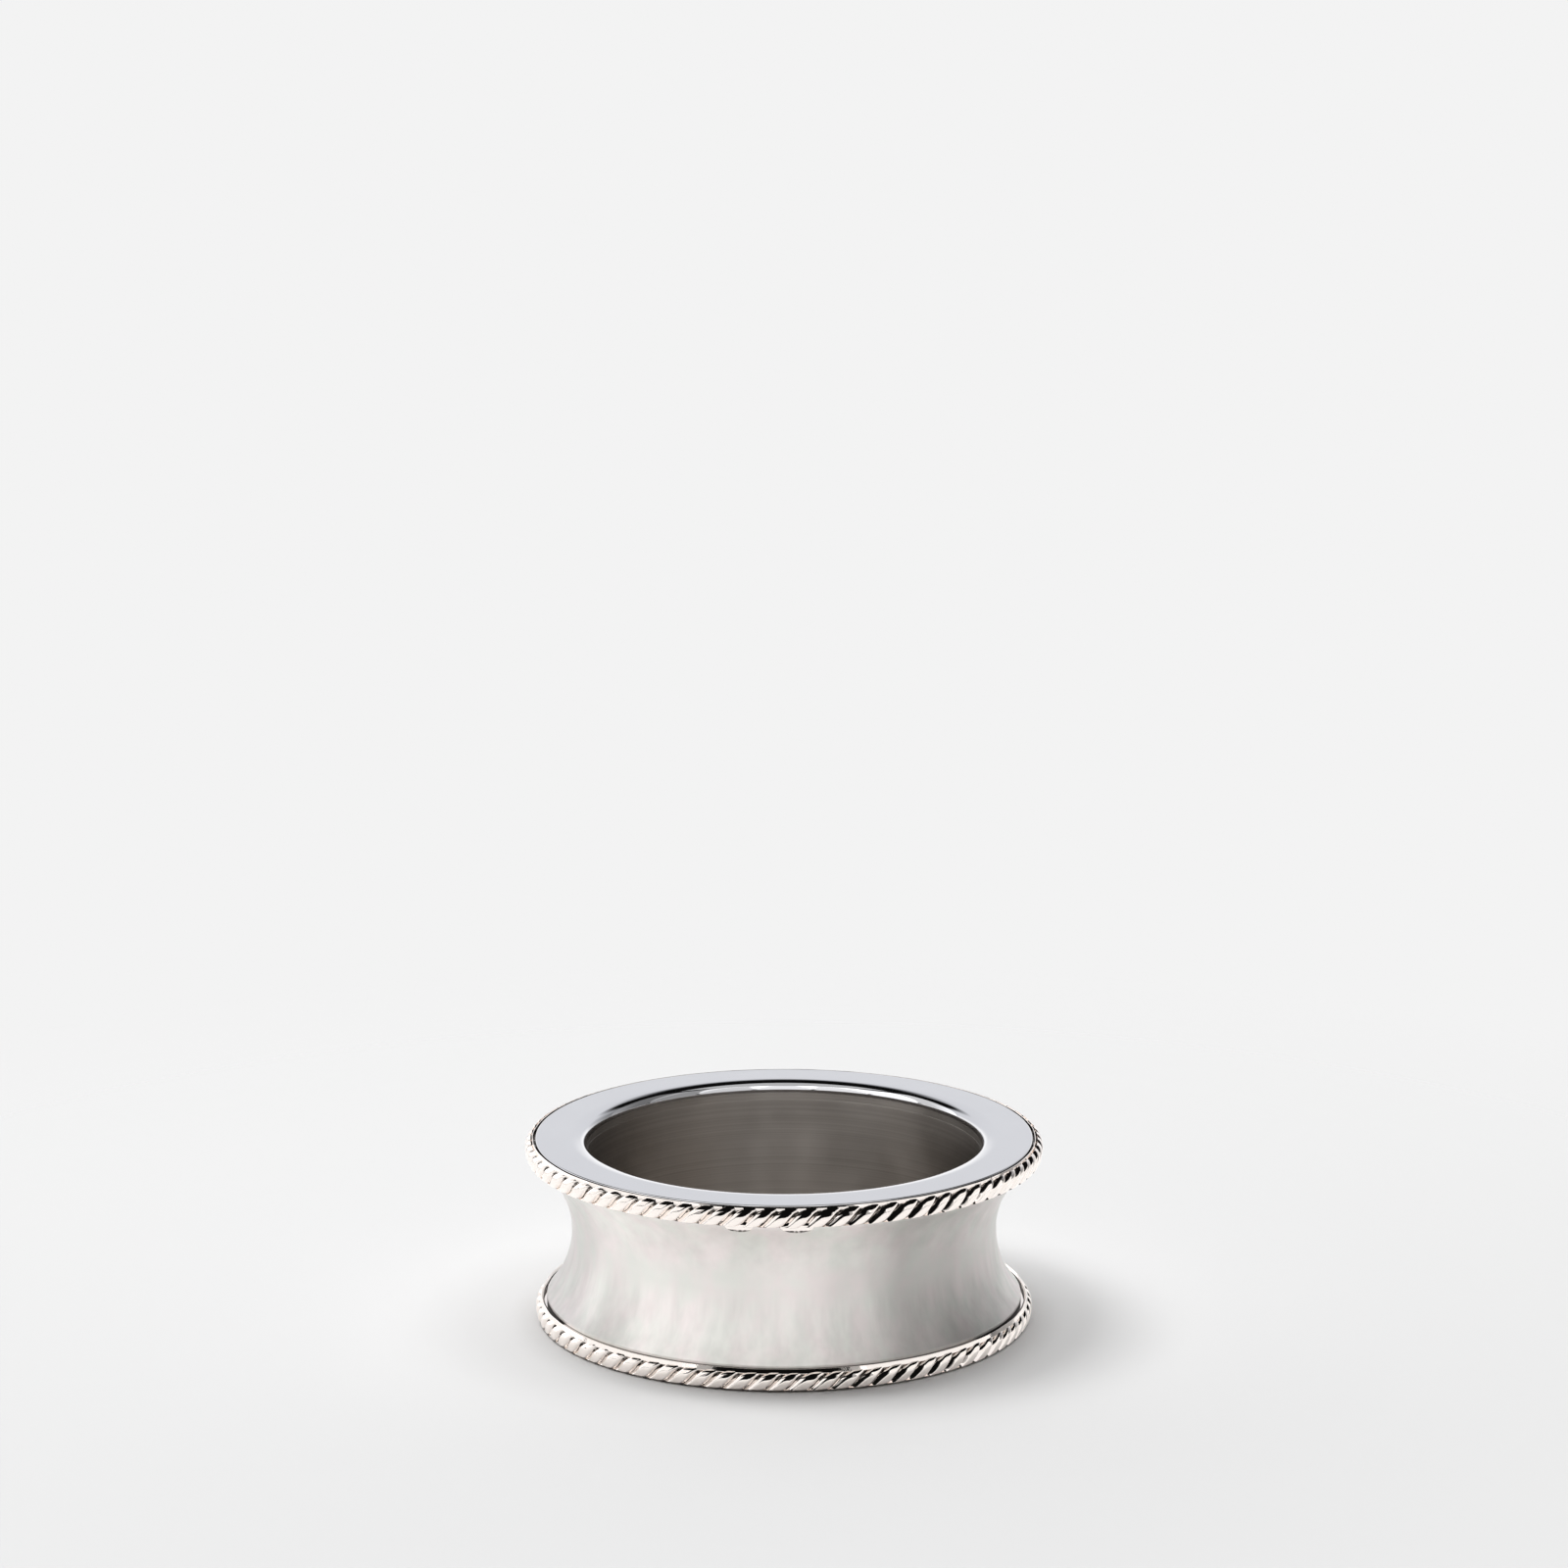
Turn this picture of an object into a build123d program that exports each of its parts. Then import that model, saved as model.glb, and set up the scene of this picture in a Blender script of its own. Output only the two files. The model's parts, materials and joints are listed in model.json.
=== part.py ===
from build123d import *
import os
from math import atan2, cos, degrees, pi, sin

# Waisted metal coaster: soldered hollow ware with two rope-twist borders.
# Lengths are millimetres. The axis of the well is Z, and the felt stands on the plane z = 0.
# Each sheet piece is drawn as one face of the sheet and thickened by SHEET to the other side.

# Driving dimensions
HEIGHT = 50.0            # table to the flat of the rim
WELL_DIAMETER = 107.0    # inside of the well
RIM_FLAT = 10.25         # width of the flat of the rim
WAIST_GAP = 2.2          # air between the well and the outside wall at the waist
WAIST_DROP = 1.2         # how far the waist is below the middle of the hollow wall
FOOT_INSET = 2.8         # how much smaller the foot is than the rim, on the radius
SHEET = 0.9              # all the sheet metal

# Bends, by their inside radius
LIP_BEND = 2.1           # roll from the rim down into the well
WALL_BEND = 2.1          # roll from the flare of the wall to its upright ends
CUP_BEND = 2.1           # corner between the wall and the floor of the well
EDGE_ROUNDING = 0.45     # outer edge of the rim, which is square inside

# Solder joints
SOLDER_GAP = 0.05        # between round pieces that are soldered together
COLLAR = 2.0             # upright end of the lip, lapped by the top of the cup

# Rope borders
ROPE_HEIGHT = 4.8        # height of the moulding
STRAND_DEPTH = 1.5       # how far the strands stand out from the rebate of the wire, half-way up
STRAND_END_DEPTH = 0.55  # the same at the upper and lower edges
NOTCH_DEPTH = 1.0        # valley between two strands, half-way up
NOTCH_END_DEPTH = 0.4    # the same at the upper and lower edges
STRAND_PITCH = 5.6       # spacing of the strands round the border
STRAND_LEAN = 1.0        # how many pitches a strand moves round as it climbs
STRAND_ROWS = 8          # slices that a strand is lofted through, less one
RIM_STEP = 0.4           # flat of the rim to the top of its rope border
FOOT_UPRIGHT = 0.7       # upright of the wall that shows above the foot border

# Plain wires, each in a rebate along the inner top edge of its rope border
REBATE_DEPTH = 1.0
WIRE_WIDTH = 0.65
WIRE_TAPER = 0.3         # how much a wire narrows at its top, on the outside
TAPER_HEIGHT = 0.75
TOP_WIRE_PROUD = 0.2     # how far the wire of the rim stands above the rope beside it
FOOT_WIRE_PROUD = 0.7    # the same for the wire of the foot
TOP_GROOVE = 0.6         # open groove between the rim and its plain wire
FOOT_GROOVE = 0.9        # open groove between the wall and its plain wire

# Underside
FELT_THICKNESS = 1.5
FELT_PROUD = 0.4         # felt below the metal foot
FELT_MARGIN = 0.6        # edge of the felt to the wall

# Radii and heights worked out from these
well_radius = WELL_DIAMETER / 2
lip_radius = LIP_BEND + SHEET
rim_radius = well_radius + lip_radius + RIM_FLAT + EDGE_ROUNDING
foot_radius = rim_radius - FOOT_INSET
waist_radius = well_radius + SHEET + WAIST_GAP + SHEET
wall_top_radius = rim_radius - SHEET - SOLDER_GAP
base_radius = foot_radius - SHEET - SOLDER_GAP
lap_radius = well_radius + SHEET + SOLDER_GAP

foot_border_z = FELT_PROUD
top_border_z = HEIGHT - RIM_STEP - ROPE_HEIGHT
foot_flare_z = foot_border_z + ROPE_HEIGHT + FOOT_WIRE_PROUD + FOOT_UPRIGHT
top_flare_z = top_border_z
waist_z = (foot_flare_z + top_flare_z) / 2 - WAIST_DROP
wall_top_z = HEIGHT - SHEET - SOLDER_GAP
collar_z = HEIGHT - lip_radius - COLLAR
floor_z = FELT_THICKNESS + 2 * SHEET


def turned(section):
    """Solid of revolution about Z, from a face drawn as (radius, height)."""
    return revolve(Plane.XZ * section, Axis.Z)


def sheet(edges, side):
    """Section of a sheet piece: the drawn face of the sheet, thickened by SHEET to the given side."""
    outline = Wire(edges).offset_2d(SHEET, Kind.INTERSECTION, side)
    return make_face(outline)


def top_rim():
    """The flat of the rim, with the lip rolled into the well and a skirt turned down outside."""
    corners = [
        (rim_radius, top_border_z),
        (rim_radius, HEIGHT),
        (well_radius, HEIGHT),
        (well_radius, collar_z),
    ]
    face = FilletPolyline(*corners, radius=[0, lip_radius])
    section = sheet(face.edges(), Side.LEFT)
    outer_edge = section.vertices().group_by(Axis.X)[-1].sort_by(Axis.Y)[-1]
    return turned(fillet(outer_edge, EDGE_ROUNDING))


def well_cup():
    """The cup, whose top is stepped out by the sheet to lap round the collar of the rim."""
    corners = [
        (0, floor_z),
        (well_radius, floor_z),
        (well_radius, collar_z),
        (lap_radius, collar_z),
        (lap_radius, collar_z + COLLAR),
    ]
    face = FilletPolyline(*corners, radius=[CUP_BEND, 0, 0])
    return turned(sheet(face.edges(), Side.RIGHT))


def flare(end_radius, end_z):
    """From the waist out to an upright end of the wall: the hollow, and the roll that ends it.

    The radius of the hollow is the one that is upright at the waist and meets the roll smoothly.
    """
    roll = WALL_BEND + SHEET
    reach = end_radius - roll - waist_radius
    climb = abs(end_z - waist_z)
    hollow = (reach**2 + climb**2 - roll**2) / (2 * (reach + roll))
    turn = degrees(atan2(climb, hollow - reach))
    way = 1 if end_z > waist_z else -1
    hollow_arc = JernArc((waist_radius, waist_z), (0, way), hollow, -way * turn)
    roll_arc = JernArc(hollow_arc @ 1, hollow_arc % 1, roll, way * turn)
    return [hollow_arc, roll_arc]


def waisted_wall():
    """The outside wall: upright at the foot and inside the skirt of the rim, drawn in between."""
    foot = Line((foot_radius, foot_border_z), (foot_radius, foot_flare_z))
    top = Line((wall_top_radius, top_flare_z), (wall_top_radius, wall_top_z))
    lower = flare(foot_radius, foot_flare_z)
    upper = flare(wall_top_radius, top_flare_z)
    return turned(sheet([foot, *reversed(lower), *upper, top], Side.LEFT))


def disc(radius, foot_z, thickness):
    return Pos(0, 0, foot_z + thickness / 2) * Cylinder(radius, thickness)


def base_plate():
    """Flat disc that closes the underside, soldered inside the foot of the wall, under the cup."""
    return disc(base_radius, FELT_THICKNESS, SHEET)


def felt_pad():
    """Felt disc glued under the base plate."""
    return disc(foot_radius - SHEET - FELT_MARGIN, 0, FELT_THICKNESS)


def polar(radius, angle, height):
    return (radius * cos(angle), radius * sin(angle), height)


def strand_face(rebate, foot_z, pitch):
    """Outer face of one strand, lofted up through level arcs from valley to crest to valley."""
    arcs = []
    for row in range(STRAND_ROWS + 1):
        share = row / STRAND_ROWS
        swell = sin(pi * share)
        height = foot_z + ROPE_HEIGHT * (1 - cos(pi * share)) / 2
        crest = rebate + STRAND_END_DEPTH + (STRAND_DEPTH - STRAND_END_DEPTH) * swell
        valley = crest - NOTCH_END_DEPTH - (NOTCH_DEPTH - NOTCH_END_DEPTH) * swell
        middle = STRAND_LEAN * (share - 0.5) * pitch
        points = [
            polar(valley, middle - pitch / 2, height),
            polar(crest, middle, height),
            polar(valley, middle + pitch / 2, height),
        ]
        arcs.append(Wire([ThreePointArc(*points)]))
    return Shell.make_loft(arcs).face()


def rope_border(seat_radius, groove, foot_z):
    """Rope moulding round a seat, flat above and below, rebated for its plain wire and the groove."""
    back = seat_radius + SOLDER_GAP
    rebate = seat_radius + groove + WIRE_WIDTH + SOLDER_GAP
    top_z = foot_z + ROPE_HEIGHT
    rebate_z = top_z - REBATE_DEPTH
    count = round(2 * pi * (rebate + STRAND_DEPTH) / STRAND_PITCH)
    strand = strand_face(rebate, foot_z, 2 * pi / count)
    strands = [strand.rotate(Axis.Z, 360 * turn / count) for turn in range(count)]
    lower_edge = Wire([face.edges().sort_by(Axis.Z)[0] for face in strands])
    upper_edge = Wire([face.edges().sort_by(Axis.Z)[-1] for face in strands])

    def circle(radius, height):
        return Edge.make_circle(radius, Plane.XY.offset(height))

    underside = Face(lower_edge, [Wire([circle(back, foot_z)])])
    top = Face(upper_edge, [Wire([circle(rebate, top_z)])])
    ledge = Face(Wire([circle(rebate, rebate_z)]), [Wire([circle(back, rebate_z)])])
    seat = Face.extrude(circle(back, foot_z), (0, 0, rebate_z - foot_z))
    step = Face.extrude(circle(rebate, rebate_z), (0, 0, top_z - rebate_z))
    return Solid(Shell([*strands, underside, top, ledge, seat, step]))


def plain_wire(seat_radius, groove, foot_z, proud):
    """Plain wire in the rebate of a rope border, tapered to its top on the outside."""
    inner = seat_radius + groove
    outer = inner + WIRE_WIDTH
    rebate_z = foot_z + ROPE_HEIGHT - REBATE_DEPTH
    top_z = foot_z + ROPE_HEIGHT + proud
    corners = [
        (inner, rebate_z),
        (outer, rebate_z),
        (outer, top_z - TAPER_HEIGHT),
        (outer - WIRE_TAPER, top_z),
        (inner, top_z),
    ]
    return turned(make_face(Polyline(*corners, close=True)))


nodes = {
    "top_rim": top_rim(),
    "well_cup": well_cup(),
    "waisted_wall": waisted_wall(),
    "base_plate": base_plate(),
    "felt_pad": felt_pad(),
    "top_rope_border": rope_border(rim_radius, TOP_GROOVE, top_border_z),
    "top_plain_wire": plain_wire(rim_radius, TOP_GROOVE, top_border_z, TOP_WIRE_PROUD),
    "foot_rope_border": rope_border(foot_radius, FOOT_GROOVE, foot_border_z),
    "foot_plain_wire": plain_wire(foot_radius, FOOT_GROOVE, foot_border_z, FOOT_WIRE_PROUD),
}

os.makedirs("parts", exist_ok=True)
for name, solid in nodes.items():
    export_step(solid, f"parts/{name}.step")
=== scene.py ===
"""Looks of the waisted metal coaster, in metres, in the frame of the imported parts.

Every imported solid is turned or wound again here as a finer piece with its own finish, and traces of
solder are added. The camera stands where the photograph was taken from.
"""

import json
import random
from math import atan2, cos, exp, hypot, pi, radians, sin, tan

import bmesh
import bpy
from mathutils import Matrix, Vector, noise


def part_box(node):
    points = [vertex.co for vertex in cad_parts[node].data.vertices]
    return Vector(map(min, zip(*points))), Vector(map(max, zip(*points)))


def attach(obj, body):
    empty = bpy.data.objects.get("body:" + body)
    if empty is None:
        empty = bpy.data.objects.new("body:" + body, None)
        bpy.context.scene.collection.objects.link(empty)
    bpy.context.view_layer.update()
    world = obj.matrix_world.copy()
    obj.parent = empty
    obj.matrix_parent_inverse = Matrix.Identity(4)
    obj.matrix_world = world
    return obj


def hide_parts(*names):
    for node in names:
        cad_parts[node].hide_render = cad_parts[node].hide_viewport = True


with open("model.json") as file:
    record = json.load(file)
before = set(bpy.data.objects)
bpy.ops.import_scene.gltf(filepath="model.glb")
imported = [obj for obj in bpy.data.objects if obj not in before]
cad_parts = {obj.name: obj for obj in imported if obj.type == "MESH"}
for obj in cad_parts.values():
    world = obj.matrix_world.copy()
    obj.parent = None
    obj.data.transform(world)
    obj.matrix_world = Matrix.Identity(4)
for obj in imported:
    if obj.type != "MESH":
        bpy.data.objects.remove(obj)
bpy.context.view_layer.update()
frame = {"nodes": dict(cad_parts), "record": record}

MM = 0.001

# Mesh fineness
SPIN = 288                  # steps round the axis in a turned piece
BEND_STEPS = 8              # steps in a rounded corner
FLARE_STEPS = 48            # steps in each half of the hollow of the wall
ACROSS = 18                 # steps across one strand of a rope
ALONG = 36                  # steps along one strand, from its lower edge to its upper one
RUN_STEPS = 24              # steps down a run of solder, which has twice as many round it
FELT_RINGS = 40             # rings on the underside of the felt
WELD = 0.0001 * MM          # closer points are one point
WALL_SHARP = radians(60)    # edges of the wall that turn by more stay sharp
BORDER_SHARP = radians(50)  # the same for the ropes and the solder

# Sizes that no box in the frame gives
SOLDER_GAP = 0.05 * MM        # between round pieces that are soldered together
COLLAR = 2.0 * MM             # upright end of the lip, lapped by the top of the cup
CUP_BEND = 2.1 * MM           # between the side and the floor of the well
SHOULDER = 3.2 * MM           # width of the soft shoulder between the flat of the rim and its lip
SHOULDER_SLOPE = radians(15)
SHOULDER_BEND = 12 * MM
LIP_BEND = 2.2 * MM           # from the shoulder down into the well
TOP_ROLL = 3.0 * MM           # from the flare of the wall to its upright end
FOOT_ROLL = 0.8 * MM          # the same at the foot
FOOT_UPRIGHT = 0.1 * MM       # upright of the wall that shows above the foot border
FOOT_PAINTED_SHADE = 0.5 * MM       # top of the plain wire down to the painted shade on the wall behind it
EDGE_ROUNDING = 0.45 * MM     # outer edge of the rim
RIM_PAINTED_SHADE = 0.22 * MM       # flat of the rim down to the painted shade on its outer edge
WIRE_PAINTED_SHADE = 0.15 * MM      # top of a plain wire down to the painted shade on its inner face
CUT_EDGE = 0.2 * MM           # rounding of a cut edge of the sheet
SEAM = 0.05 * MM              # rounding of the edges along the seam inside the well
WIRE_TAPER = 0.48 * MM        # how much a plain wire narrows at its top
WIRE_TAPER_HEIGHT = 1.2 * MM  # how far down from its top it narrows
FOOT_WIRE_LAP = 0.45 * MM     # how far the foot wire laps over the strands in front of it
SOLDER_DIP = 0.5 * MM         # top of the foot wire down to the solder behind it
SOLDER_MIDDLE = radians(-96)  # middle of this solder, counted from X
SOLDER_ENDS = (0.45, 0.53)    # cosine of the angle from the middle, where it starts and is full
SOLDER_PATCHES = 0.05         # unevenness of these ends
SOLDER_WAVES = 12             # patches in a radian
SOLDER_FILM = 0.03            # share of the depth of the groove that is filled everywhere
SOLDER_RUNS = ((-9.6, 7.4 * MM), (2.8, 8.6 * MM))  # degrees from the front, and width
RUN_RADIUS = 68.9 * MM        # from the axis to the middle of a run
RUN_DEPTH = 0.4 * MM          # from the middle of a run to the front
RUN_DROP = 1.5 * MM           # from the border down to the end of a run
RUN_PAINTED_SHADE = 0.9 * MM          # from the border down to the painted shade along the end
FELT_EDGE = 0.5 * MM          # rounding of the lower edge of the felt

# Rope borders
STRAND_PITCH = 5.6 * MM
STRAND_LEAN = 1.0                # pitches that a strand moves round as it climbs
UPPER_TILT = radians(72)         # how far a strand has turned up where it meets the plain wire
UPPER_STRAND_DEPTH = -0.53 * MM  # how far it would stand out if its curve went on to the level
LOWER_STRAND_DEPTH = 0.9 * MM    # how far it stands out at its lower edge
STRAND_CREST = 0.65              # where the crest of a strand is, as a share of its width
BEVEL_START = 0.53               # where its flat gives way to a bevel, as a share from crest to valley
BEVEL_BLEND = 0.12
NOTCH_DEPTH = 1.2 * MM           # valley between two strands, half-way up
UPPER_NOTCH_DEPTH = 0.9 * MM     # the same at the upper edge
LOWER_NOTCH_DEPTH = 0.4 * MM     # the same at the lower edge
VALLEY_SHIFT = 0.06              # unevenness of the strands, in pitches
DEPTH_SHIFT = 0.08               # unevenness of the valleys, as a share of their depth
PAINTED_SHADE_WIDTH = 0.03               # share of a strand beside its valleys that has painted shade
SLASH_WIDTH = 0.17               # the same on the right of its upper end

# Unevenness of the plain wires, the beaten wall and the felt
WIRE_WAVER = 0.16 * MM
WIRE_WAVES = 170                   # per metre
RIDGE = 0.08 * MM                  # soft ridge that the beating leaves round the waist
RIDGE_WIDTH = 1.4 * MM
WALL_WAVER = 0.25 * MM
WALL_WAVES = Vector((60, 60, 30))  # per metre
WALL_LAYERS = (0.8, 2.2, 3)        # layers of dents: fall in depth, step in fineness and number
FELT_FUZZ = 0.12 * MM
FELT_FUZZ_WAVES = 400              # per metre


def outer_radius(node):
    """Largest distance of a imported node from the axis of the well."""
    return max(hypot(v.co.x, v.co.y) for v in frame["nodes"][node].data.vertices)


def inner_point(node):
    """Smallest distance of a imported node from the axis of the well, and its height there."""
    return min((hypot(v.co.x, v.co.y), v.co.z) for v in frame["nodes"][node].data.vertices)


def inner_radius(node):
    return inner_point(node)[0]


# Sizes read from the frame
mounts = {mount["name"]: mount for mount in frame["record"]["mounts"]}
well_radius = mounts["bottle_well"]["dims"]["r_mm"] * MM
floor_z = mounts["well_floor"]["pos_m"][2]
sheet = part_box("base_plate")[1].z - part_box("base_plate")[0].z
rim_radius = outer_radius("top_rim")
rim_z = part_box("top_rim")[1].z
skirt_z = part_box("top_rim")[0].z
collar_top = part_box("well_cup")[1].z
collar_z = collar_top - COLLAR
lip_radius = rim_z - collar_top
lap_radius = well_radius + sheet + SOLDER_GAP
waist_radius = inner_radius("waisted_wall") + sheet
waist_z = inner_point("waisted_wall")[1]
wall_top_radius = outer_radius("waisted_wall")
foot_radius = outer_radius("base_plate") + sheet + SOLDER_GAP
foot_flare_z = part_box("foot_plain_wire")[1].z + FOOT_UPRIGHT


# Outlines, as lists of (radius, height), anticlockwise
def rounded(corners):
    """Closed outline through corners given as (radius, height, rounding)."""
    outline = []
    for index, (r, z, rounding) in enumerate(corners):
        r_before, z_before, _ = corners[index - 1]
        r_after, z_after, _ = corners[(index + 1) % len(corners)]
        if rounding == 0:
            outline.append((r, z))
            continue
        heading_in = atan2(z - z_before, r - r_before)
        heading_out = atan2(z_after - z, r_after - r)
        turn = (heading_out - heading_in + pi) % (2 * pi) - pi
        side = 1 if turn > 0 else -1
        back = rounding * tan(abs(turn) / 2)
        start_r = r - back * cos(heading_in)
        start_z = z - back * sin(heading_in)
        centre_r = start_r - side * rounding * sin(heading_in)
        centre_z = start_z + side * rounding * cos(heading_in)
        for step in range(BEND_STEPS + 1):
            heading = heading_in + turn * step / BEND_STEPS
            outline.append((
                centre_r + side * rounding * sin(heading),
                centre_z - side * rounding * cos(heading),
            ))
    return outline


def flare(end_radius, end_z, roll):
    """Outer face of the wall from its waist to an upright end: (radius, height, normal heading)."""
    reach = end_radius - roll - waist_radius
    climb = end_z - waist_z
    hollow = (reach**2 + climb**2 - roll**2) / (2 * (reach + roll))
    full_turn = atan2(climb, hollow - reach)
    points = []
    for step in range(FLARE_STEPS + 1):
        turn = full_turn * step / FLARE_STEPS
        points.append((
            waist_radius + hollow * (1 - cos(turn)),
            waist_z + hollow * sin(turn),
            -turn,
        ))
    for step in range(1, BEND_STEPS + 1):
        turn = full_turn * (1 - step / BEND_STEPS)
        points.append((
            end_radius - roll * (1 - cos(turn)),
            end_z - roll * sin(turn),
            -turn,
        ))
    return points


# Meshes
def new_piece(name, vertices, faces, material, node=None):
    """A smooth mesh that rides on the coaster and, where it is given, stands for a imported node."""
    mesh = bpy.data.meshes.new(name)
    mesh.from_pydata(vertices, [], faces)
    welded = bmesh.new()
    welded.from_mesh(mesh)
    bmesh.ops.remove_doubles(welded, verts=welded.verts, dist=WELD)
    welded.to_mesh(mesh)
    welded.free()
    mesh.shade_smooth()
    piece = bpy.data.objects.new(name, mesh)
    bpy.context.scene.collection.objects.link(piece)
    mesh.materials.append(material)
    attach(piece, "root")
    if node:
        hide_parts(node)
    return piece


def set_painted_shade(piece, painted_shade):
    """Painted shade of a piece, from 0 to 1, for each of its vertices."""
    piece.data.attributes.new("painted_shade", "FLOAT", "POINT").data.foreach_set("value", painted_shade)


def ring_faces(columns, rows, closed=True):
    """Faces between columns of vertices set in a ring; each column is an outline, closed or not."""
    faces = []
    for column in range(columns):
        here = column * rows
        there = (column + 1) % columns * rows
        for row in range(rows if closed else rows - 1):
            after = (row + 1) % rows
            faces.append((here + row, there + row, there + after, here + after))
    return faces


def polar(radius, angle, height):
    return (radius * cos(angle), radius * sin(angle), height)


def spin(outline, steps=SPIN):
    """Vertices of an outline turned about the axis, column by column."""
    vertices = []
    for step in range(steps):
        angle = 2 * pi * step / steps
        vertices += [polar(r, angle, z) for r, z in outline]
    return vertices


def push_out(vertices, push):
    """Vertices moved away from the axis by what push gives for them."""
    moved = []
    for vertex in vertices:
        point = Vector(vertex)
        out = Vector((point.x, point.y, 0)).normalized()
        moved.append(point + push(point) * out)
    return moved


def turned(name, outline, material, node, push=None):
    """Turned piece from an outline, closed or ending on the axis; its flats stay flat."""
    vertices = spin(outline)
    if push:
        vertices = push_out(vertices, push)
    faces = ring_faces(SPIN, len(outline), closed=outline[0][0] > 0)
    piece = new_piece(name, vertices, faces, material, node)
    piece.modifiers.new("flats", "WEIGHTED_NORMAL").weight = 100
    return piece


def make_rim(material):
    """Flat ring with a soft shoulder, a lip rolled into the well and a skirt turned down outside.

    The groove between the skirt and its plain wire is darkened with painted shade.
    """
    under_z = rim_z - sheet
    outline = rounded([
        (rim_radius, skirt_z, CUT_EDGE),
        (rim_radius, rim_z, EDGE_ROUNDING),
        (well_radius + SHOULDER, rim_z, SHOULDER_BEND),
        (well_radius, rim_z - SHOULDER * tan(SHOULDER_SLOPE), LIP_BEND),
        (well_radius, collar_z, SEAM),
        (well_radius + sheet, collar_z, CUT_EDGE),
        (well_radius + sheet, under_z, lip_radius - sheet),
        (rim_radius - sheet, under_z, 0),
        (rim_radius - sheet, skirt_z, CUT_EDGE),
    ])
    piece = turned("polished_rim", outline, material, "top_rim")

    def in_groove(point):
        return hypot(point.x, point.y) > rim_radius - EDGE_ROUNDING and point.z < rim_z - RIM_PAINTED_SHADE

    # Painted shade: the groove between the skirt and its plain wire is coloured dark
    set_painted_shade(piece, [1.0 if in_groove(vertex.co) else 0.0 for vertex in piece.data.vertices])
    return piece


def make_cup(material):
    """Cup of the well; its top steps out to lap round the collar of the rim."""
    outline = rounded([
        (0, floor_z - sheet, 0),
        (well_radius + sheet, floor_z - sheet, CUP_BEND + sheet),
        (well_radius + sheet, collar_z - sheet, CUT_EDGE),
        (lap_radius + sheet, collar_z - sheet, CUT_EDGE),
        (lap_radius + sheet, collar_top, CUT_EDGE),
        (lap_radius, collar_top, CUT_EDGE),
        (lap_radius, collar_z, CUT_EDGE),
        (well_radius, collar_z, SEAM),
        (well_radius, floor_z, CUP_BEND),
        (0, floor_z, 0),
    ])
    return turned("turned_well", outline, material, "well_cup")


def make_base(material):
    """Disc that closes the underside, above the felt."""
    low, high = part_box("base_plate")
    radius = outer_radius("base_plate")
    outline = rounded([
        (0, low.z, 0),
        (radius, low.z, CUT_EDGE),
        (radius, high.z, CUT_EDGE),
        (0, high.z, 0),
    ])
    return turned("base_disc", outline, material, "base_plate")


def make_wall(material):
    """Waisted wall, slightly uneven from the beating, with painted shade behind the foot wire."""
    foot_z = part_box("waisted_wall")[0].z
    top_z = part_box("waisted_wall")[1].z
    lower = flare(foot_radius, foot_flare_z, FOOT_ROLL)
    upper = flare(wall_top_radius, skirt_z, TOP_ROLL)
    groove_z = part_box("foot_plain_wire")[1].z
    # The points low in the groove behind the foot wire get painted shade
    painted_shade_points = [(foot_radius, foot_z, 0), (foot_radius, groove_z - FOOT_PAINTED_SHADE, 0)]
    unmarked_foot = (foot_radius, groove_z - FOOT_PAINTED_SHADE / 2, 0)
    face = [*painted_shade_points, unmarked_foot, *lower[::-1], *upper[1:], (wall_top_radius, top_z, 0)]
    inner = [(r - sheet * cos(heading), z - sheet * sin(heading)) for r, z, heading in face]
    outline = [(r, z) for r, z, _ in face] + inner[::-1]

    def uneven(point):
        fade = sin(pi * (point.z - foot_z) / (top_z - foot_z))
        dents = fade * WALL_WAVER * noise.fractal(point * WALL_WAVES, *WALL_LAYERS)
        return dents + RIDGE * exp(-((point.z - waist_z) / RIDGE_WIDTH)**2)

    vertices = push_out(spin(outline), uneven)
    faces = ring_faces(SPIN, len(outline))
    piece = new_piece("waisted_body", vertices, faces, material, "waisted_wall")
    unmarked = [0.0] * (len(outline) - len(painted_shade_points))
    set_painted_shade(piece, ([1.0] * len(painted_shade_points) + unmarked) * SPIN)
    piece.data.set_sharp_from_angle(angle=WALL_SHARP)
    return piece


def make_felt(material):
    """Felt disc with a soft lower edge and a slightly fuzzy underside."""
    low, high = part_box("felt_pad")
    radius = outer_radius("felt_pad")
    flat = [(radius * ring / FELT_RINGS, low.z, 0) for ring in range(FELT_RINGS)]
    outline = rounded([*flat, (radius, low.z, FELT_EDGE), (radius, high.z, CUT_EDGE), (0, high.z, 0)])

    def fuzzy(vertex):
        point = Vector(vertex)
        if point.z > low.z + FELT_EDGE:
            return point
        fuzz = FELT_FUZZ * (1 + noise.noise(point * FELT_FUZZ_WAVES)) / 2
        return point + Vector((0, 0, fuzz))

    vertices = [fuzzy(vertex) for vertex in spin(outline)]
    faces = ring_faces(SPIN, len(outline), closed=False)
    piece = new_piece("felt_disc", vertices, faces, material, "felt_pad")
    return piece


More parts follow.
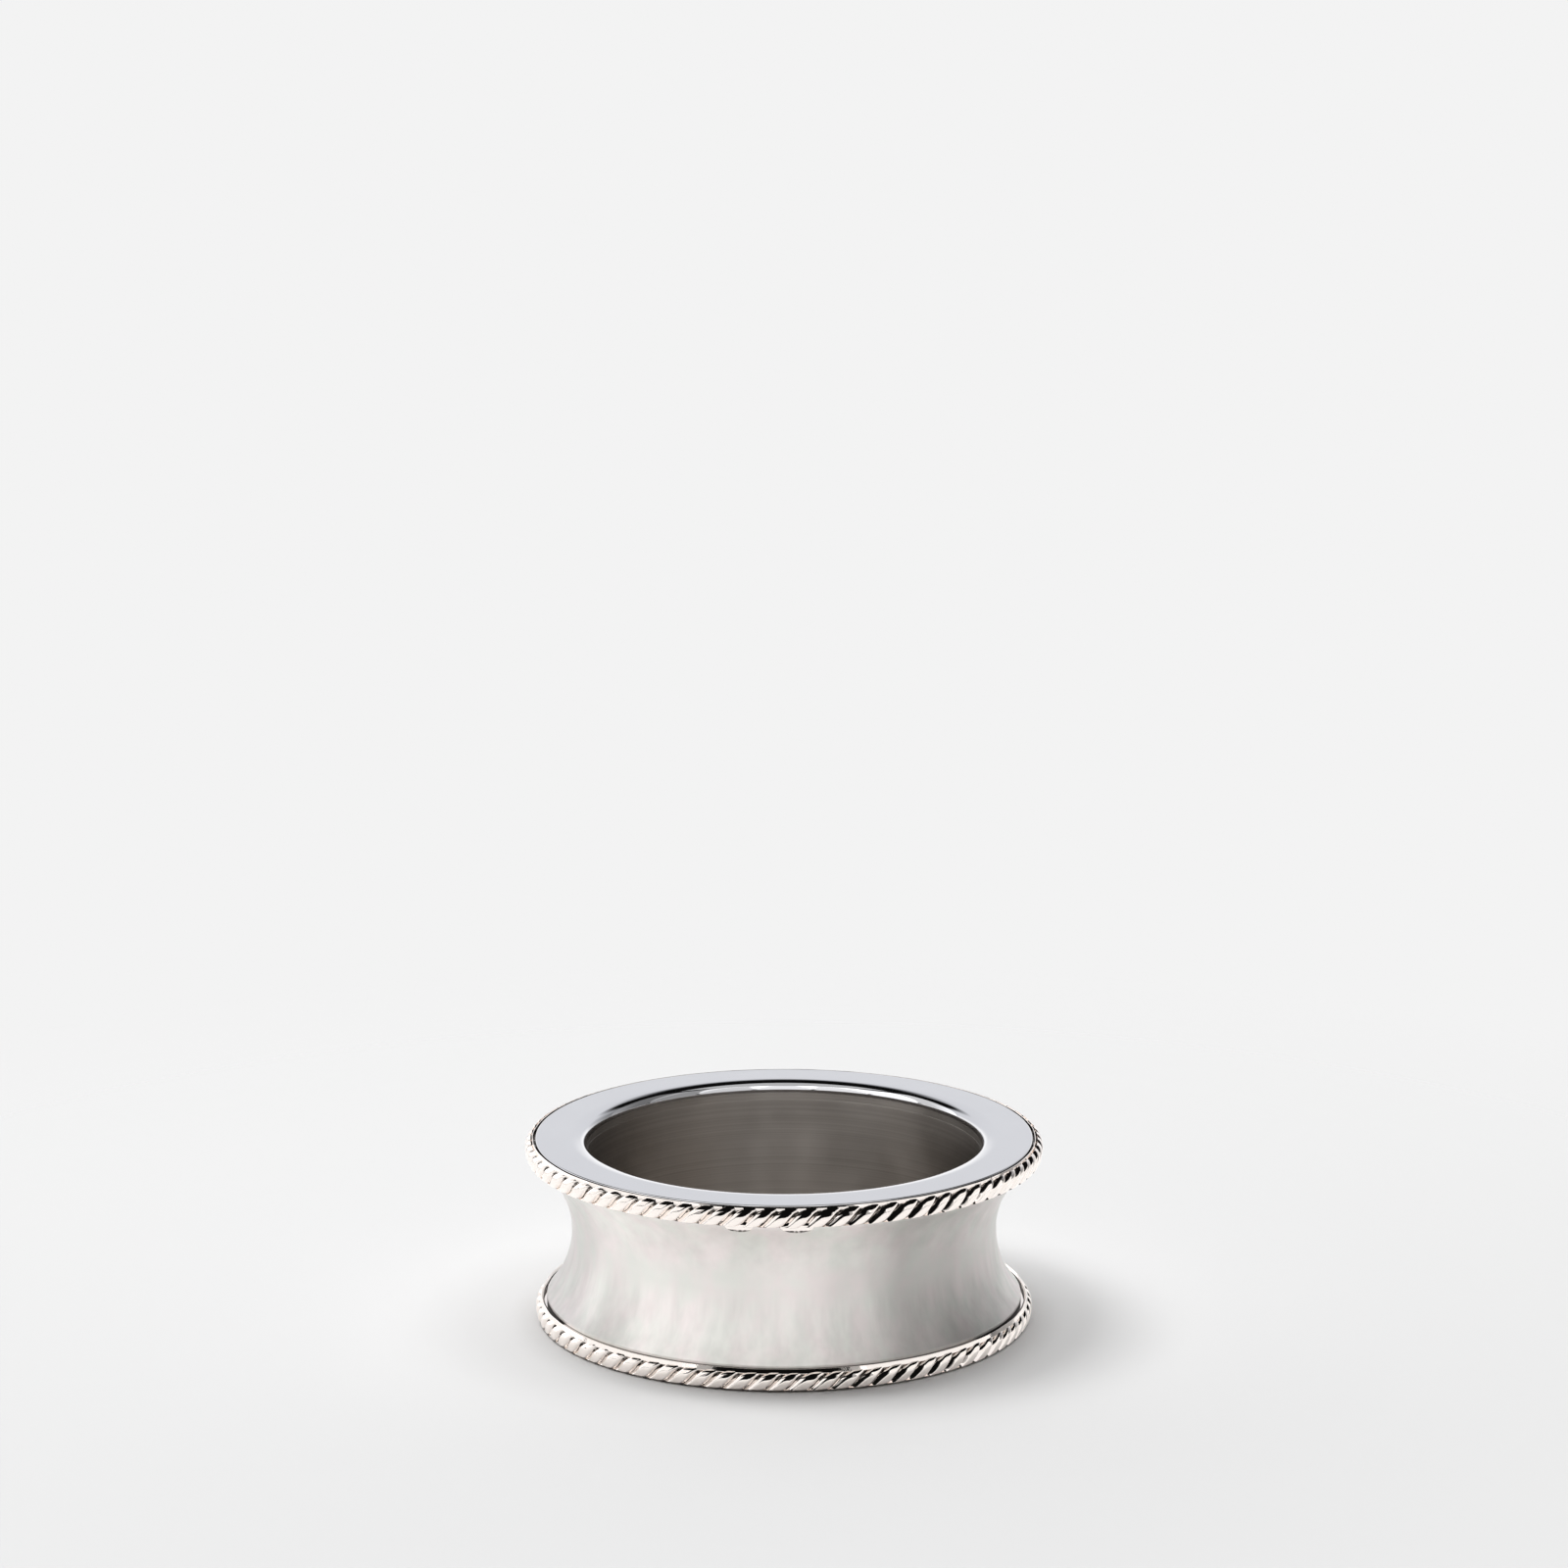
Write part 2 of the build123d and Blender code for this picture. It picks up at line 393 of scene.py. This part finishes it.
def make_wire(name, node, material, lap=0):
    """Plain wire, tapered on the outside, a little uneven, with painted shade on its inner face.

    A lap brings it out over the strands in front of it and slopes its top down to the inside.
    """
    low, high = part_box(node)
    inner = inner_radius(node)
    outer = outer_radius(node)
    outline = rounded([
        (outer, low.z, 0),
        (outer + lap, high.z - WIRE_TAPER_HEIGHT, CUT_EDGE),
        (outer + lap - WIRE_TAPER, high.z, CUT_EDGE / 2),
        (inner, high.z - lap, 0),
    ])
    # Its inner face, down in the groove, gets painted shade
    painted_shade_points = [(inner, high.z - lap - WIRE_PAINTED_SHADE), (inner, low.z)]

    def uneven(point):
        return WIRE_WAVER * noise.noise(point * WIRE_WAVES)

    piece = turned(name, outline + painted_shade_points, material, node, uneven)
    set_painted_shade(piece, ([0.0] * len(outline) + [1.0] * len(painted_shade_points)) * SPIN)
    return piece


def make_solder(wire, material):
    """Solder that fills the groove behind the foot wire in front and leaves it open elsewhere."""
    low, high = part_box(wire)
    inner = inner_radius(wire)
    empty, full = SOLDER_ENDS
    depth = high.z - SOLDER_DIP - low.z
    vertices = []
    for step in range(SPIN):
        angle = 2 * pi * step / SPIN
        uneven = SOLDER_PATCHES * noise.noise(Vector(polar(1, angle, 0)) * SOLDER_WAVES)
        filled = (cos(angle - SOLDER_MIDDLE) + uneven - empty) / (full - empty)
        top = low.z + depth * min(1, max(SOLDER_FILM, filled))
        section = [(inner, low.z), (inner, top), (foot_radius, top), (foot_radius, low.z)]
        vertices += [polar(r, angle, z) for r, z in section]
    faces = ring_faces(SPIN, len(section))
    piece = new_piece("foot_solder", vertices, faces, material)
    piece.data.set_sharp_from_angle(angle=BORDER_SHARP)
    return piece


def make_runs(node, material):
    """Runs of solder that hang under a rope border, with painted shade along their lower ends."""
    top_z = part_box(node)[0].z
    angles = [pi * row / RUN_STEPS for row in range(RUN_STEPS + 1)]
    ball = spin([(sin(angle), -cos(angle)) for angle in angles], 2 * RUN_STEPS)
    ball_faces = ring_faces(2 * RUN_STEPS, len(angles), closed=False)
    vertices = []
    faces = []
    for heading, width in SOLDER_RUNS:
        turn = Matrix.Rotation(radians(heading), 4, "Z")
        place = Matrix.Translation((0, -RUN_RADIUS, top_z))
        size = Matrix.Diagonal((width / 2, RUN_DEPTH, RUN_DROP, 1))
        faces += [[len(vertices) + index for index in face] for face in ball_faces]
        vertices += [turn @ place @ size @ Vector(point) for point in ball]
    piece = new_piece("top_solder", vertices, faces, material)
    # The lower ends of the runs get painted shade
    painted_shade = [1.0 if vertex.co.z < top_z - RUN_PAINTED_SHADE else 0.0 for vertex in piece.data.vertices]
    set_painted_shade(piece, painted_shade)
    return piece


def bevel(share):
    """Fall of a strand from its crest, where share is 0, to a valley, where both are about 1."""
    past = share - BEVEL_START
    return (hypot(past, BEVEL_BLEND) + past) / (2 * (1 - BEVEL_START))


def strand_rows(low_z, high_z, rebate, full_depth):
    """Rows up a strand, from its lower edge to its upper one.

    Each has its share of the climb, the crest as (radius, height), the fall from there to a valley
    and the width of the painted shade on its right.
    """
    middle_z = (low_z + high_z) / 2
    half_height = (high_z - low_z) / 2
    rows = []
    for row in range(ALONG + 1):
        share = row / ALONG
        tilt = share * (pi / 2 + UPPER_TILT) - pi / 2
        end_notch = LOWER_NOTCH_DEPTH + (UPPER_NOTCH_DEPTH - LOWER_NOTCH_DEPTH) * share
        notch = end_notch + (NOTCH_DEPTH - end_notch) * cos(tilt)
        end_depth = LOWER_STRAND_DEPTH + (UPPER_STRAND_DEPTH - LOWER_STRAND_DEPTH) * share
        swell = full_depth - end_depth
        out = Vector((1, 0))
        if tilt > 0:
            out = Vector((half_height * cos(tilt), swell * sin(tilt))).normalized()
        crest = (rebate + end_depth + swell * cos(tilt), middle_z + half_height * sin(tilt))
        slash = PAINTED_SHADE_WIDTH + (SLASH_WIDTH - PAINTED_SHADE_WIDTH) * max(0, sin(tilt))
        rows.append((share, crest, notch * out, slash))
    return rows


def uneven_strands(count, seed):
    """Where the valleys between strands lie, in pitches, and how deep each strand falls to them."""
    draw = random.Random(seed)
    valleys = [strand + draw.uniform(-VALLEY_SHIFT, VALLEY_SHIFT) for strand in range(count)]
    valleys.append(valleys[0] + count)
    depths = [1 + draw.uniform(-DEPTH_SHIFT, DEPTH_SHIFT) for _ in range(count)]
    return valleys, depths


def make_rope(name, node, wire, material, seed):
    """Rope border: leaning strands parted by sharp valleys, with the rebate for the wire behind.

    A strand has a wide bevel on its left, a flat crest and a narrow bevel on its right.
    """
    low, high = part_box(node)
    back = inner_radius(node)
    rebate = outer_radius(wire) + SOLDER_GAP
    rebate_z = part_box(wire)[0].z
    rows = strand_rows(low.z, high.z, rebate, outer_radius(node) - rebate)
    upper_behind = [(rebate, high.z), (rebate, rebate_z)]
    lower_behind = [(back, rebate_z), (back, low.z)]
    count = round(2 * pi * outer_radius(node) / STRAND_PITCH)
    pitch = 2 * pi / count
    valleys, depths = uneven_strands(count, seed)

    vertices = []
    painted_shade = []
    for column in range(count * ACROSS):
        strand, step = divmod(column, ACROSS)
        across = (1 - cos(pi * step / ACROSS)) / 2
        width = valleys[strand + 1] - valleys[strand]
        place = valleys[strand] + width * across - 0.5
        side = STRAND_CREST if across < STRAND_CREST else 1 - STRAND_CREST
        sink = depths[strand] * bevel(abs(across - STRAND_CREST) / side)
        for share, (crest_r, crest_z), fall, slash in rows:
            angle = pitch * (place + STRAND_LEAN * (share - 0.5))
            vertices.append(polar(crest_r - sink * fall.x, angle, crest_z - sink * fall.y))
            # Painted shade beside each valley and, wider, on the right of each strand's upper end
            unmarked = min(across / PAINTED_SHADE_WIDTH, (1 - across) / slash)
            painted_shade.append(min(1, max(0, 2 - 2 * unmarked)))
        for end, points in [(0.5, upper_behind), (-0.5, lower_behind)]:
            angle = pitch * (place + STRAND_LEAN * end)
            vertices += [polar(r, angle, z) for r, z in points]
        # Only the first point behind, on the top of the rope, is free of painted shade
        painted_shade += [0, 1, 1, 1]

    faces = ring_faces(count * ACROSS, len(rows) + len(upper_behind) + len(lower_behind))
    piece = new_piece(name, vertices, faces, material, node)
    set_painted_shade(piece, painted_shade)
    piece.data.set_sharp_from_angle(angle=BORDER_SHARP)
    return piece


# Materials
# Near-black colour of the painted shade in grooves, valleys and under the solder runs
PAINTED_SHADE_COLOUR = (0.03, 0.025, 0.02)
# The lathe colours are darkened to paint the shade inside the well; their rings are the real finish
SHADED_LATHE_DARK = (0.36, 0.33, 0.305)
SHADED_LATHE_BRIGHT = (0.60, 0.565, 0.53)
LATHE_STRETCH = 0.85    # how much the lathe lines draw reflections out across them
LATHE_ROUGHNESS = 0.24  # how much rougher the lathe finish is than the polish
LATHE_FULL = -0.2 * MM  # height over the top of the collar where the lathe finish is full
LATHE_END = 0.5 * MM    # the same where it has given way to the polish
SATIN_STRETCH = 0.9     # how much the buffing lines of the wall draw reflections out
LINES_ROUND = 0.25      # anisotropic rotation for lines that run round the axis
STREAK_FADE = 6 * MM    # from the waist of the wall down to where its streaks are full
BLOTCH_FADE = 8 * MM    # from the waist up to where its clouds are full


def add(tree, kind, inputs=None, **settings):
    """New node; an input that is given as a socket is linked, any other one is set."""
    node = tree.nodes.new(kind)
    for name, value in settings.items():
        setattr(node, name, value)
    for name, value in (inputs or {}).items():
        if isinstance(value, bpy.types.NodeSocket):
            tree.links.new(value, node.inputs[name])
        else:
            node.inputs[name].default_value = value
    return node


def new_material(name):
    """Empty material and its node tree."""
    material = bpy.data.materials.new(name)
    material.use_nodes = True
    material.node_tree.nodes.clear()
    return material, material.node_tree


def finish_material(tree, inputs):
    """Shader with these inputs as the surface of a material."""
    shader = add(tree, "ShaderNodeBsdfPrincipled", inputs)
    add(tree, "ShaderNodeOutputMaterial", {"Surface": shader.outputs["BSDF"]})


def place_on_object(tree):
    return add(tree, "ShaderNodeTexCoord").outputs["Object"]


def grain(tree, place, scale, detail=3.0, roughness=0.55):
    """Noise, as a number about 0.5, whose features are 1/scale metres across."""
    stretched = add(tree, "ShaderNodeMapping", {"Vector": place, "Scale": scale})
    inputs = {
        "Vector": stretched.outputs["Vector"],
        "Scale": 1.0,
        "Detail": detail,
        "Roughness": roughness,
    }
    return add(tree, "ShaderNodeTexNoise", inputs).outputs["Fac"]


def between(tree, value, low, high, from_low=0.3, from_high=0.7):
    """A value, by default a grain, mapped to the range from low to high."""
    inputs = {
        "Value": value,
        "From Min": from_low,
        "From Max": from_high,
        "To Min": low,
        "To Max": high,
    }
    return add(tree, "ShaderNodeMapRange", inputs).outputs["Result"]


def blend_colours(tree, share, low, high):
    """Colour between two, which are given as colours or as sockets."""
    node = add(tree, "ShaderNodeMix", data_type="RGBA")
    tree.links.new(share, node.inputs["Factor"])
    for socket, colour in zip([s for s in node.inputs if s.type == "RGBA"], (low, high)):
        if isinstance(colour, bpy.types.NodeSocket):
            tree.links.new(colour, socket)
        else:
            socket.default_value = (*colour, 1)
    return next(s for s in node.outputs if s.type == "RGBA")


def bump(tree, height, distance):
    """Normal for a surface whose height, from 0 to 1, stands for this distance."""
    inputs = {"Height": height, "Distance": distance, "Strength": 1.0}
    return add(tree, "ShaderNodeBump", inputs).outputs["Normal"]


def ring_place(tree):
    """Coordinates for lathe marks: (distance from the axis, height, 0)."""
    split = add(tree, "ShaderNodeSeparateXYZ", {"Vector": place_on_object(tree)})
    across = add(tree, "ShaderNodeCombineXYZ", {"X": split.outputs["X"], "Y": split.outputs["Y"]})
    radius = add(tree, "ShaderNodeVectorMath", {0: across.outputs["Vector"]}, operation="LENGTH")
    inputs = {"X": radius.outputs["Value"], "Y": split.outputs["Z"]}
    return add(tree, "ShaderNodeCombineXYZ", inputs).outputs["Vector"]


def round_axis(tree):
    """Direction of lathe and buffing lines."""
    return add(tree, "ShaderNodeTangent", direction_type="RADIAL", axis="Z").outputs["Tangent"]


def mirror_metal():
    """Bright polish with a breath of haze and hairlines left by the buffing wheel.

    Down in the well it gives way to the lathe finish of the cup, darkened as painted shade.
    """
    material, tree = new_material("mirror_polish")
    place = place_on_object(tree)
    haze = grain(tree, place, (60, 60, 60))
    rings = ring_place(tree)
    lines = grain(tree, rings, (2500, 2500, 1))
    lathe_lines = grain(tree, rings, (1800, 1800, 1), detail=4.0)
    height = add(tree, "ShaderNodeSeparateXYZ", {"Vector": place}).outputs["Z"]
    # Below the collar the lathe finish takes over; its darker colour is painted shade of the well
    inside = between(tree, height, 1.0, 0.0, collar_top + LATHE_FULL, collar_top + LATHE_END)
    polish = blend_colours(tree, haze, (0.71, 0.71, 0.73), (0.75, 0.75, 0.77))
    lathe_turned_shaded = blend_colours(tree, lathe_lines, SHADED_LATHE_DARK, SHADED_LATHE_BRIGHT)
    smooth = between(tree, haze, 0.05, 0.10)
    inputs = {0: inside, 1: LATHE_ROUGHNESS, 2: smooth}
    rough = add(tree, "ShaderNodeMath", inputs, operation="MULTIPLY_ADD")
    stretch = add(tree, "ShaderNodeMath", {0: inside, 1: LATHE_STRETCH}, operation="MULTIPLY")
    unmarked = blend_colours(tree, inside, polish, lathe_turned_shaded)
    # The painted shade darkens the groove on the outer edge of the rim
    painted_shade = add(tree, "ShaderNodeAttribute", attribute_name="painted_shade").outputs["Fac"]
    finish_material(tree, {
        "Base Color": blend_colours(tree, painted_shade, unmarked, PAINTED_SHADE_COLOUR),
        "Metallic": 1.0,
        "Roughness": rough.outputs["Value"],
        "Anisotropic": stretch.outputs["Value"],
        "Anisotropic Rotation": LINES_ROUND,
        "Tangent": round_axis(tree),
        "Normal": bump(tree, lines, 0.0006 * MM),
    })
    return material


def satin_metal():
    """Soft satin: fine level buffing lines that draw every reflection out up and down.

    Faint pink and green patches are left of the tarnish. Upright streaks below the waist and clouds
    above it are painted reflections of the dents from the beating.
    """
    material, tree = new_material("satin_polish")
    place = place_on_object(tree)
    height = add(tree, "ShaderNodeSeparateXYZ", {"Vector": place}).outputs["Z"]
    clouds = grain(tree, place, (45, 45, 30), detail=2.0)
    lines = grain(tree, place, (40, 40, 5000), detail=4.0)
    patches = grain(tree, place, (130, 130, 90), detail=2.0)
    tint = between(tree, patches, 0.0, 1.0, 0.35, 0.65)
    streaks = between(tree, grain(tree, place, (330, 330, 25), detail=2.0), -0.5, 0.5)
    blotches = between(tree, grain(tree, place, (170, 170, 130)), -0.5, 0.5)
    below_waist = between(tree, height, 1.0, 0.0, waist_z - STREAK_FADE, waist_z)
    above_waist = between(tree, height, 0.0, 1.0, waist_z, waist_z + BLOTCH_FADE)
    # Painted reflections: the streaks and clouds lighten and darken the colour
    shade = clouds
    for marks, where in [(streaks, below_waist), (blotches, above_waist)]:
        inputs = {0: marks, 1: where, 2: shade}
        shade = add(tree, "ShaderNodeMath", inputs, operation="MULTIPLY_ADD").outputs["Value"]
    dull = blend_colours(tree, tint, (0.70, 0.70, 0.665), (0.74, 0.69, 0.675))
    bright = blend_colours(tree, tint, (0.79, 0.79, 0.75), (0.83, 0.775, 0.76))
    unmarked = blend_colours(tree, shade, dull, bright)
    # The painted shade darkens the groove behind the foot wire
    painted_shade = add(tree, "ShaderNodeAttribute", attribute_name="painted_shade").outputs["Fac"]
    finish_material(tree, {
        "Base Color": blend_colours(tree, painted_shade, unmarked, PAINTED_SHADE_COLOUR),
        "Metallic": 1.0,
        "Roughness": between(tree, clouds, 0.40, 0.48),
        "Anisotropic": SATIN_STRETCH,
        "Anisotropic Rotation": LINES_ROUND,
        "Tangent": round_axis(tree),
        "Normal": bump(tree, lines, 0.002 * MM),
    })
    return material


def shaded_turned_metal():
    """Lathe-turned metal, duller and darkened as painted shade, with fine rings on floor and side."""
    material, tree = new_material("lathe_turned_shaded")
    place = place_on_object(tree)
    rings = grain(tree, ring_place(tree), (1800, 1800, 1), detail=4.0)
    clouds = grain(tree, place, (50, 50, 50), detail=2.0)
    finish_material(tree, {
        "Base Color": blend_colours(tree, rings, SHADED_LATHE_DARK, SHADED_LATHE_BRIGHT),
        "Metallic": 1.0,
        "Roughness": between(tree, clouds, 0.28, 0.36),
        "Anisotropic": LATHE_STRETCH,
        "Anisotropic Rotation": LINES_ROUND,
        "Tangent": round_axis(tree),
        "Normal": bump(tree, rings, 0.006 * MM),
    })
    return material


def border_metal():
    """Warm bright cast border, with brown-black painted shade in its valleys and grooves."""
    material, tree = new_material("cast_border")
    place = place_on_object(tree)
    pits = grain(tree, place, (1200, 1200, 1200))
    painted_shade = add(tree, "ShaderNodeAttribute", attribute_name="painted_shade").outputs["Fac"]
    # The painted shade is broken up by the pits
    patchy = add(tree, "ShaderNodeMath", {0: painted_shade, 1: pits}, operation="MULTIPLY")
    painted_shade_share = between(tree, patchy.outputs["Value"], 0.0, 1.0, 0.2, 0.55)
    finish_material(tree, {
        "Base Color": blend_colours(tree, painted_shade_share, (1.0, 0.93, 0.88), PAINTED_SHADE_COLOUR),
        "Metallic": 1.0,
        "Roughness": between(tree, painted_shade_share, 0.06, 0.5, 0.0, 1.0),
        "Normal": bump(tree, pits, 0.012 * MM),
    })
    return material


def felt_cloth():
    """Black felt: short matted fibres with a soft sheen."""
    material, tree = new_material("black_felt")
    place = place_on_object(tree)
    fibres = grain(tree, place, (1500, 1500, 1500), detail=6.0, roughness=0.7)
    flecks = between(tree, fibres, 0.0, 1.0, 0.4, 0.6)
    mats = between(tree, grain(tree, place, (160, 160, 160), detail=4.0), 0.0, 1.0, 0.38, 0.62)
    flat = blend_colours(tree, flecks, (0.003, 0.003, 0.004), (0.016, 0.016, 0.017))
    raised = blend_colours(tree, flecks, (0.008, 0.008, 0.009), (0.055, 0.053, 0.055))
    finish_material(tree, {
        "Base Color": blend_colours(tree, mats, flat, raised),
        "Roughness": 0.95,
        "Sheen Weight": 0.35,
        "Sheen Roughness": 0.5,
        "Normal": bump(tree, fibres, 0.25 * MM),
    })
    return material


# The coaster
cast = border_metal()
shaded_lathe = shaded_turned_metal()
rim = make_rim(mirror_metal())
cup = make_cup(shaded_lathe)
base = make_base(shaded_lathe)
wall = make_wall(satin_metal())
felt = make_felt(felt_cloth())
top_border = [
    make_rope("top_rope", "top_rope_border", "top_plain_wire", cast, seed=3),
    make_wire("top_wire", "top_plain_wire", cast),
]
foot_border = [
    make_rope("foot_rope", "foot_rope_border", "foot_plain_wire", cast, seed=8),
    make_wire("foot_wire", "foot_plain_wire", cast, FOOT_WIRE_LAP),
    make_solder("foot_plain_wire", cast),
]
borders = [*top_border, *foot_border, make_runs("top_rope_border", cast)]


# Studio
BACKGROUND = (0.896, 0.896, 0.896)
FLOOR_PAPER = (0.86, 0.86, 0.86)
FLOOR_RADIUS = 2.0
FLOOR_SIDES = 128
FLOOR_FADE = 0.1   # radius where the floor starts to fade into the background
FLOOR_END = 0.4    # radius where it has faded
ROOM = (0.004, 0.004, 0.004)
BACKDROP = (0.84, 0.85, 0.88)
HORIZON = (1.2, 1.2, 1.2)
FRONT_EDGE = -0.1  # height of the edge of the paper in front, as the coaster sees it
CARD_Z = 0.5 * MM  # cards that light the pieces from below lie just above the floor

# Ring of panels round the front, from the left to the right, that the sheet metal reflects
RING_BRIGHTNESS = (0.8, 1.35, 1.08, 1.1, 0.8, 0.36, 0.2)
RING_STEP = 35            # degrees
RING_RISE = 28            # degrees
RING_DISTANCE = 1.5
RING_PANEL = (0.92, 1.7)  # width and height of a panel


def make_floor():
    """Round sheet of pale paper that fades into the background at its edge."""
    mesh = bpy.data.meshes.new("floor")
    disc = bmesh.new()
    bmesh.ops.create_circle(disc, cap_ends=True, segments=FLOOR_SIDES, radius=FLOOR_RADIUS)
    disc.to_mesh(mesh)
    disc.free()
    floor = bpy.data.objects.new("floor", mesh)
    bpy.context.scene.collection.objects.link(floor)
    material, tree = new_material("pale_paper")
    mesh.materials.append(material)
    radius = add(tree, "ShaderNodeVectorMath", {0: place_on_object(tree)}, operation="LENGTH")
    fade = between(tree, radius.outputs["Value"], 0.0, 1.0, FLOOR_FADE, FLOOR_END)
    paper = add(tree, "ShaderNodeBsdfDiffuse", {"Color": (*FLOOR_PAPER, 1)})
    clear = add(tree, "ShaderNodeBsdfTransparent")
    mixed = add(tree, "ShaderNodeMixShader", {
        "Fac": fade,
        1: paper.outputs["BSDF"],
        2: clear.outputs["BSDF"],
    })
    add(tree, "ShaderNodeOutputMaterial", {"Surface": mixed.outputs["Shader"]})
    return floor


def make_world():
    """Dark room with a pale backdrop behind and pale paper below; the camera sees only pale.

    Its parts are set out along X, Y and Z of the unit vector that a ray follows.
    """
    world = bpy.data.worlds.new("studio")
    bpy.context.scene.world = world
    world.use_nodes = True
    tree = world.node_tree
    tree.nodes.clear()
    heading = add(tree, "ShaderNodeTexCoord").outputs["Generated"]
    split = add(tree, "ShaderNodeSeparateXYZ", {"Vector": heading})
    horizon = between(tree, split.outputs["Z"], 1.0, 0.0, 0.08, 0.26)
    lit = blend_colours(tree, horizon, BACKDROP, HORIZON)
    behind = between(tree, split.outputs["Y"], 0.0, 1.0, 0.15, 0.55)
    low = between(tree, split.outputs["Z"], 1.0, 0.0, 0.46, 0.58)
    left = between(tree, split.outputs["X"], 1.0, 0.3, 0.4, 0.8)
    share = add(tree, "ShaderNodeMath", {0: behind, 1: low}, operation="MULTIPLY").outputs["Value"]
    share = add(tree, "ShaderNodeMath", {0: share, 1: left}, operation="MULTIPLY").outputs["Value"]
    room = blend_colours(tree, share, ROOM, lit)
    edge = between(tree, split.outputs["Y"], FRONT_EDGE, 0.0, -0.5, 0.0)
    rise = add(tree, "ShaderNodeMath", {0: split.outputs["Z"], 1: edge}, operation="SUBTRACT")
    below = between(tree, rise.outputs["Value"], 1.0, 0.0, -0.02, 0.02)
    room = blend_colours(tree, below, room, FLOOR_PAPER)
    seen = add(tree, "ShaderNodeLightPath").outputs["Is Camera Ray"]
    shown = blend_colours(tree, seen, room, BACKGROUND)
    shader = add(tree, "ShaderNodeBackground", {"Color": shown, "Strength": 1.0})
    add(tree, "ShaderNodeOutputWorld", {"Surface": shader.outputs["Background"]})


def around(heading, rise, distance):
    """Point round the coaster; the heading is counted from the front to the right, in degrees."""
    level = distance * cos(radians(rise))
    out = Vector((sin(radians(heading)), -cos(radians(heading)), tan(radians(rise))))
    return level * out


def collect(name, pieces):
    """Collection that a light is linked to."""
    collection = bpy.data.collections.new(name)
    for piece in pieces:
        collection.objects.link(piece)
    return collection


def softbox(name, place, width, height, brightness, pieces, aim=None, shaded_by=None):
    """Rectangular light for the given pieces, aimed at the coaster or along aim.

    Brightness is what a mirror would show of it. Pieces in shaded_by, or else all, cast its shadows.
    """
    light = bpy.data.lights.new(name, "AREA")
    light.shape = "RECTANGLE"
    light.size = width
    light.size_y = height
    light.energy = brightness * pi * width * height
    box = bpy.data.objects.new(name, light)
    bpy.context.scene.collection.objects.link(box)
    aim = aim or Vector((0, 0, rim_z / 2)) - Vector(place)
    box.location = place
    box.rotation_euler = aim.to_track_quat("-Z", "Y").to_euler()
    box.visible_camera = False
    box.light_linking.receiver_collection = collect(name + "_pieces", pieces)
    if shaded_by:
        box.light_linking.blocker_collection = collect(name + "_shades", shaded_by)


make_world()
matt = [make_floor(), felt]
sheets = [rim, cup, base, wall]
softbox("sky", (0, 0.75, 1.5), 2.0, 2.0, 1.05, matt, shaded_by=[felt, *foot_border])
softbox("zenith", (0, 0.12, 1.7), 0.3, 0.3, 14, matt)
softbox("left_sun", around(-105, 65, 1.8), 0.8, 0.8, 6.8, matt)
softbox("right_sun", around(100, 65, 1.8), 0.8, 0.8, 2.5, matt)
softbox("ceiling", (0, -0.2, 1.6), 1.6, 1.4, 0.6, sheets)
for index, brightness in enumerate(RING_BRIGHTNESS):
    heading = RING_STEP * (index - len(RING_BRIGHTNESS) // 2)
    place = around(heading, RING_RISE, RING_DISTANCE)
    softbox(f"ring_{index}", place, *RING_PANEL, brightness, sheets)
softbox("front_left", around(-72, 24, 1.2), 1.25, 1.0, 1.0, borders)
softbox("left", around(-127, 24, 1.2), 1.25, 1.0, 0.9, borders)
softbox("right", around(72, 20, 1.2), 1.7, 0.9, 0.95, borders)
softbox("left_edge", around(-39, 24, 1.2), 0.24, 1.0, 0.4, borders)
softbox("right_edge", around(32, 20, 1.2), 0.2, 0.9, 0.4, borders)
up = Vector((0, 0, 1))
softbox("body_card", (-0.2, -0.25, CARD_Z), 0.5, 0.5, 0.42, [wall], aim=up)
softbox("far_card", (0.12, -0.3, CARD_Z), 0.26, 0.3, 0.6, [wall], aim=up)
softbox("border_card", (0, -0.15, CARD_Z), 0.8, 0.7, 0.15, borders, aim=up)

# Camera
CAMERA_PLACE = (0, -1.1254, 0.3697)
CAMERA_PITCH = 11.223  # degrees below the horizon
LENS = 99.0            # millimetres, on a 36 mm sensor

camera_data = bpy.data.cameras.new("camera")
camera_data.lens = LENS
camera = bpy.data.objects.new("camera", camera_data)
camera.location = CAMERA_PLACE
camera.rotation_euler = (radians(90 - CAMERA_PITCH), 0, 0)
bpy.context.scene.collection.objects.link(camera)
bpy.context.scene.camera = camera
bpy.context.scene.view_settings.view_transform = "Standard"
